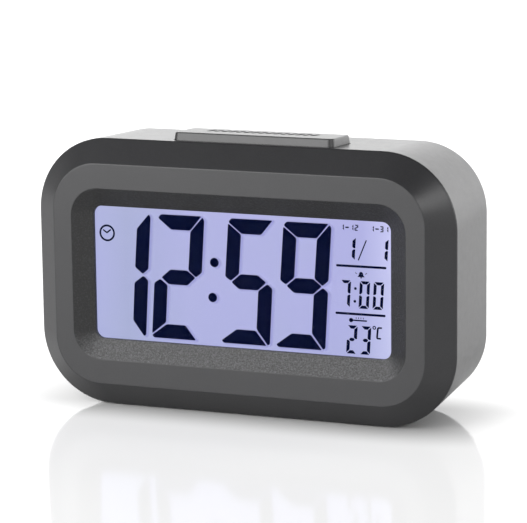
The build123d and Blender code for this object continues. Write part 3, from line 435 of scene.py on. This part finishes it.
def stroke(a, b, width):
    """A line from a to b with this width and round ends."""
    (ax, az), (bx, bz) = a, b
    length = ((bx - ax) ** 2 + (bz - az) ** 2) ** 0.5
    ux, uz = (bx - ax) / length, (bz - az) / length
    r = width / 2
    steps = 8
    points = []
    for (px, pz), turn in ((a, pi / 2), (b, -pi / 2)):
        for i in range(steps + 1):
            t = turn + pi * i / steps
            points.append((px + r * (ux * cos(t) - uz * sin(t)),
                           pz + r * (uz * cos(t) + ux * sin(t))))
    return points


def soften(outline, r, steps=4):
    """The outline with each corner rounded."""
    out, n = [], len(outline)
    for i in range(n):
        p, q, s = Vector(outline[i - 1]), Vector(outline[i]), Vector(outline[(i + 1) % n])
        u, v = (p - q), (s - q)
        cut = min(r, u.length * 0.45, v.length * 0.45)
        a, b = q + u.normalized() * cut, q + v.normalized() * cut
        for k in range(steps + 1):
            t = k / steps
            out.append(tuple((1 - t) ** 2 * a + 2 * t * (1 - t) * q + t ** 2 * b))
    return out


# Display. Heights and places in mm from the middle of the window, as seen square on.
INK_Y = -15.46
SHADE_Y = -15.42
DISPLAY_SHIFT = 0.16    # of the whole picture on the display, left and up


def on_display(y):
    return lambda x, z: ((x - DISPLAY_SHIFT) * MM, y * MM,
                         (z + DISPLAY_SHIFT + WINDOW_Z) * MM)


# Strokes of one large digit, named as is usual from a at the top round to g in the middle
STROKES = {
    "a": [(-3.3, 18.55), (10.1, 18.6), (6.3, 14.0), (0.0, 14.0), (-4.25, 17.4)],
    "b": [(10.45, 18.35), (11.0, 17.3), (9.95, 1.3), (8.0, -0.35), (5.5, 1.7), (6.35, 13.65)],
    "c": [(8.2, -0.9), (9.8, -2.3), (8.8, -19.3), (8.1, -19.8), (4.5, -15.0), (5.2, -3.2)],
    "d": [(-2.0, -15.5), (4.2, -15.5), (7.7, -19.95), (-6.3, -19.95), (-7.0, -19.2)],
    "e": [(-3.9, -1.5), (-1.5, -3.3), (-2.2, -14.9), (-6.95, -18.75), (-5.9, -2.8)],
    "f": [(-4.35, 17.0), (-0.17, 13.75), (-0.96, 1.67), (-3.7, -0.6), (-5.5, 0.6)],
    "g": [(-0.5, 1.6), (5.1, 1.6), (7.8, -0.45), (5.1, -3.0), (-1.1, -3.0), (-3.5, -1.0)],
}
# Place across and strokes of each large digit: 1, 2, 5 and 9
LARGE = ((-40.85, "bc"), (-23.1, "abged"), (0.0, "afgcd"), (17.85, "abcdfg"))
DIGITS = {"0": "abcdef", "1": "bc", "2": "abged", "3": "abgcd", "7": "abc"}


def small_digit(x, z, w, h, t, digit, lean=0.06, gap=0.12):
    """A small seven-stroke digit: x and z are its lower left corner, t its strokes' width."""
    m, half, notch = h / 2, t / 2, gap * 0.4
    left, right = t + gap * 0.5, w - t - gap * 0.5
    shapes = {
        "a": [(gap, h), (w - gap, h), (w - t, h - t), (t, h - t)],
        "b": [(w, h - gap), (w, m + gap), (w - half, m + notch), (w - t, m + half),
              (w - t, h - t)],
        "c": [(w, gap), (w, m - gap), (w - half, m - notch), (w - t, m - half), (w - t, t)],
        "d": [(gap, 0.0), (w - gap, 0.0), (w - t, t), (t, t)],
        "e": [(0.0, gap), (0.0, m - gap), (half, m - notch), (t, m - half), (t, t)],
        "f": [(0.0, h - gap), (0.0, m + gap), (half, m + notch), (t, m + half), (t, h - t)],
        "g": [(half + gap, m), (left, m + half), (right, m + half), (w - half - gap, m),
              (right, m - half), (left, m - half)],
    }
    out = []
    for name in DIGITS[digit]:
        shape = [Vector(p) for p in shapes[name]]
        middle = Vector((sum(p[0] for p in shapes[name]), sum(p[1] for p in shapes[name])))
        middle /= len(shape)
        shrunk = [(p - middle) * 0.93 + middle for p in shape]
        out.append(soften([(x + p.x + lean * p.y, z + p.y) for p in shrunk], 0.12, 2))
    return out


large = [soften([(x + dx, z) for x, z in STROKES[name]], 0.55)
         for dx, names in LARGE for name in names]
large += [disc(-9.0, 4.67, 1.43), disc(-9.72, -6.17, 1.43)]
flat_piece("time_strokes", large, on_display(INK_Y), ink, "casing")

# A bell round its own middle, without its clapper
BELL = [(-0.95, -0.62), (0.95, -0.62), (0.62, -0.2), (0.5, 0.35),
        (0.22, 0.68), (-0.22, 0.68), (-0.5, 0.35), (-0.62, -0.2)]


def bell(cx, cz, size):
    return soften([(cx + size * x, cz + size * z) for x, z in BELL], 0.1, 2)


small = []
# Clock face at the upper left
small += ring(-44.54, 11.75, 2.62, 2.02)
small += [stroke((-45.75, 12.6), (-44.6, 11.85), 0.46),
          stroke((-44.6, 11.85), (-43.4, 12.75), 0.46)]
# Date: month and day with a slash between, and above them the ranges they run through
small += small_digit(33.55, 8.0, 2.6, 7.1, 1.05, "1")
small += small_digit(43.8, 8.1, 2.6, 7.1, 1.05, "1")
small += [stroke((37.3, 8.3), (39.75, 14.2), 0.36)]
# The two lines that part the three fields
small += [stroke((30.6, 6.28), (45.7, 6.36), 0.72), stroke((30.3, -8.15), (45.4, -8.1), 0.72)]
PITCH = 1.5
for left, text in ((31.6, "1-12"), (41.0, "1-31")):
    for n, mark in enumerate(text):
        x = left + PITCH * n
        if mark == "-":
            small += [stroke((x + 0.3, 17.9), (x + 1.05, 17.9), 0.42)]
        else:
            small += small_digit(x, 17.0, 1.2, 1.85, 0.42, mark, 0.0, 0.0)
# Alarm time in the middle field, under a bell
small += small_digit(31.2, -6.4, 3.3, 8.4, 1.0, "7")
small += [disc(36.3, -0.4, 0.42, 20), disc(36.1, -4.3, 0.42, 20)]
small += small_digit(37.2, -6.4, 3.3, 8.4, 1.0, "0")
small += small_digit(41.6, -6.4, 3.3, 8.4, 1.0, "0")
small += [bell(38.1, 3.9, 1.2), disc(38.1, 2.98, 0.24, 14)]
small += [stroke((36.3, 4.4), (36.75, 4.1), 0.18), stroke((39.9, 4.4), (39.45, 4.1), 0.18)]
# Temperature with its sign, under a thermometer
small += small_digit(33.2, -20.3, 3.3, 8.7, 1.1, "2")
small += small_digit(37.5, -20.3, 3.3, 8.7, 1.1, "3")
small += ring(42.2, -11.9, 0.58, 0.26, 24)
small += [stroke((43.5, -11.85), (44.4, -11.85), 0.5),
          stroke((43.3, -12.15), (43.05, -14.8), 0.58),
          stroke((43.15, -15.1), (44.1, -15.1), 0.5)]
small += [stroke((35.0, -10.05), (39.7, -10.05), 0.44), disc(34.9, -10.05, 0.66, 24)]
small += [stroke((36.5 + 0.75 * n, -9.15), (36.5 + 0.75 * n, -9.5), 0.2) for n in range(4)]
flat_piece("info_strokes", small, on_display(INK_Y), ink, "casing")


def shadow_of(outlines, shadow_reach, dx, dz):
    """Each outline moved aside, full inside and fading over its rim."""
    shapes, fades = [], []
    for outline in outlines:
        n = len(outline)
        area = sum(outline[i - 1][0] * outline[i][1] - outline[i][0] * outline[i - 1][1]
                   for i in range(n))
        side = 1 if area > 0 else -1
        inner, outer = [], []
        for i in range(n):
            along = (Vector(outline[(i + 1) % n]) - Vector(outline[i - 1])).normalized()
            out = Vector((along.y, -along.x)) * side
            q = Vector(outline[i]) + Vector((dx, dz))
            inner.append(tuple(q - out * shadow_reach * 0.5))
            outer.append(tuple(q + out * shadow_reach))
        shapes.append(inner)
        fades.append([1.0] * n)
        for i in range(n):
            j = (i + 1) % n
            shapes.append([inner[i], inner[j], outer[j], outer[i]])
            fades.append([1.0, 1.0, 0.0, 0.0])
    return shapes, fades


shapes, fades = shadow_of(large, 0.75, 0.6, -0.15)
flat_piece("time_shades", shapes, on_display(SHADE_Y), shade, "casing", fades)

# Printed marks on the snooze bar. The casing's top slopes down towards the back.
TOP_DROP, TOP_RUN = 1.8, 36.2
TOP_Z, TOP_START = 83.35, 6.8    # where the slope begins: height, and distance from the front
BAR_BACK = 17.3                  # the bar's middle, from the front
BAR_LIFT = 2.52                  # the marks above the casing's top
LEAN = atan(TOP_DROP / TOP_RUN)
BAR_X = 2.2
BAR_Y = BAR_BACK + FRONT_Y
BAR_Z = TOP_Z - (BAR_BACK - TOP_START) * TOP_DROP / TOP_RUN


def on_bar(x, back):
    """A point on the bar's top: x from its middle, and the distance towards the back."""
    return ((BAR_X + x) * MM, (BAR_Y + back * cos(LEAN) + BAR_LIFT * sin(LEAN)) * MM,
            (BAR_Z - back * sin(LEAN) + BAR_LIFT * cos(LEAN)) * MM)


dashes = []
for n in range(15):
    x = 2.4 * n - 16.8
    dashes.append(stroke((x - 0.35, -0.6), (x + 0.35, 2.6), 1.35))
flat_piece("snooze_marks", dashes, on_bar, print_ink, "snooze")

# Marks on the floor of the rear control strip, under the keys and the alarm slider
STRIP_Y = 20.32
MARK_Z = 57.15
CLOCK_X, BELL_X, UP_X, DOWN_X, DOT_X, CIRCLE_X = -36.0, -22.5, -9.0, 4.5, 21.5, 24.5


def on_strip(x, z):
    return (x * MM, STRIP_Y * MM, z * MM)


def triangle(cx, up):
    """An isosceles triangle that points up (1) or down (-1)."""
    return soften([(cx - 0.8, MARK_Z - 0.6 * up), (cx + 0.8, MARK_Z - 0.6 * up),
                   (cx, MARK_Z + 0.7 * up)], 0.12, 3)


signs = ring(CLOCK_X, MARK_Z, 0.85, 0.66, 32)
signs += [stroke((CLOCK_X, MARK_Z), (CLOCK_X, MARK_Z + 0.5), 0.16),
          stroke((CLOCK_X, MARK_Z), (CLOCK_X - 0.38, MARK_Z), 0.16)]
signs += [bell(BELL_X, MARK_Z, 0.9), disc(BELL_X, MARK_Z - 0.68, 0.17, 14)]
signs += [triangle(UP_X, 1), triangle(DOWN_X, -1)]
signs += [disc(DOT_X, MARK_Z, 0.5, 24)] + ring(CIRCLE_X, MARK_Z, 0.5, 0.34, 24)
flat_piece("strip_marks", signs, on_strip, print_pale, "casing")


# Studio: a pale glossy floor in a white room that darkens upwards, and five soft panels
def glowing_floor():
    size = 6
    corners = [(-size, -size, 0), (size, -size, 0), (size, size, 0), (-size, size, 0)]
    mesh = bpy.data.meshes.new("floor")
    mesh.from_pydata(corners, [], [(0, 1, 2, 3)])
    floor = bpy.data.objects.new("floor", mesh)
    bpy.context.scene.collection.objects.link(floor)
    s = Shader("floor_white", (0.57, 0.57, 0.57, 1.0), 0.1)
    s.set(s.bsdf, {"IOR": 1.25, "Emission Color": (1, 1, 1, 1)})
    s.drive("Roughness", s.grey(s.noise(9.0, 2.0), (0.3, 0.06), (0.7, 0.1)))
    # The glow fades out under the clock and close round it, so that the floor keeps its
    # shadow; this fade paints a soft contact shadow round the clock
    beyond = s.vectors("SUBTRACT", s.vectors("ABSOLUTE", s.coords), (0.050, 0.011, 0.0))
    outside = s.vectors("MAXIMUM", beyond, (0.0, 0.0, 0.0))
    deeper = s.vectors("MULTIPLY", outside, (1.0, 1.8, 1.0))
    away = s.vectors("LENGTH", deeper, result="Value")
    shadow_reach = s.remap(away, "SMOOTHSTEP", From_Max=0.045)
    near = s.calculate("MULTIPLY", s.direct(), shadow_reach)
    # It also fades out in front of the clock
    depth = s.axes(s.coords)["Y"]
    front = s.remap(depth, "SMOOTHSTEP", From_Min=-0.34, From_Max=-0.13)
    # Far in front, behind the large panel, the floor is as white as the rest of the room
    far = s.remap(depth, "SMOOTHSTEP", From_Min=-0.38, From_Max=-0.65, To_Max=2.1)
    glow_with_painted_shadow = s.calculate("MULTIPLY", near, s.calculate("MAXIMUM", front, far))
    s.drive("Emission Strength", s.calculate("MULTIPLY", glow_with_painted_shadow, 0.48))
    mesh.materials.append(s.mat)


def room():
    world = bpy.data.worlds.new("world")
    bpy.context.scene.world = world
    world.use_nodes = True
    w = Nodes(world.node_tree, "Generated")
    back = w.tree.nodes["Background"]
    way = w.axes(w.coords)
    w.link(w.grey(way["Z"], (0.2, 1.0), (0.62, 0.3)), back.inputs["Color"])
    strength = w.remap(w.direct(), To_Min=0.4, To_Max=1.0)
    # The room is darker to the far left
    sideways = w.remap(way["X"], From_Min=-0.99, From_Max=-0.75, To_Min=0.4, To_Max=1.0)
    w.link(w.calculate("MULTIPLY", strength, sideways), back.inputs["Strength"])


def panel(name, place, target, width, height, power):
    """A soft panel. Its radiance is its power over its area and pi."""
    data = bpy.data.lights.new(name, "AREA")
    data.shape, data.size, data.size_y, data.energy = "RECTANGLE", width, height, power
    lamp = bpy.data.objects.new(name, data)
    lamp.location = place
    lamp.rotation_mode = "QUATERNION"
    lamp.rotation_quaternion = (Vector(target) - Vector(place)).to_track_quat("-Z", "Y")
    lamp.visible_camera = False
    bpy.context.scene.collection.objects.link(lamp)


def studio():
    bpy.context.scene.view_settings.view_transform = "Standard"
    glowing_floor()
    room()
    middle = (0, 0, 0.05)
    panel("front_panel", (-0.38, -0.67, 0.42), middle, 0.8, 0.9, 8.5)
    panel("right_panel", (1.03, -0.69, 0.66), middle, 0.42, 0.42, 3.4)
    panel("back_panel", (0.3, 2.5, 0.75), middle, 4.4, 1.5, 24.5)
    # Low panels behind the clock, out of the picture's reflections, that light its back
    lower = (0, 0, 0.04)
    panel("rear_right_panel", (0.84, 0.5, 0.34), lower, 0.6, 0.6, 3.4)
    panel("rear_left_panel", (-0.62, 0.72, 0.5), lower, 0.4, 0.4, 1.5)


studio()
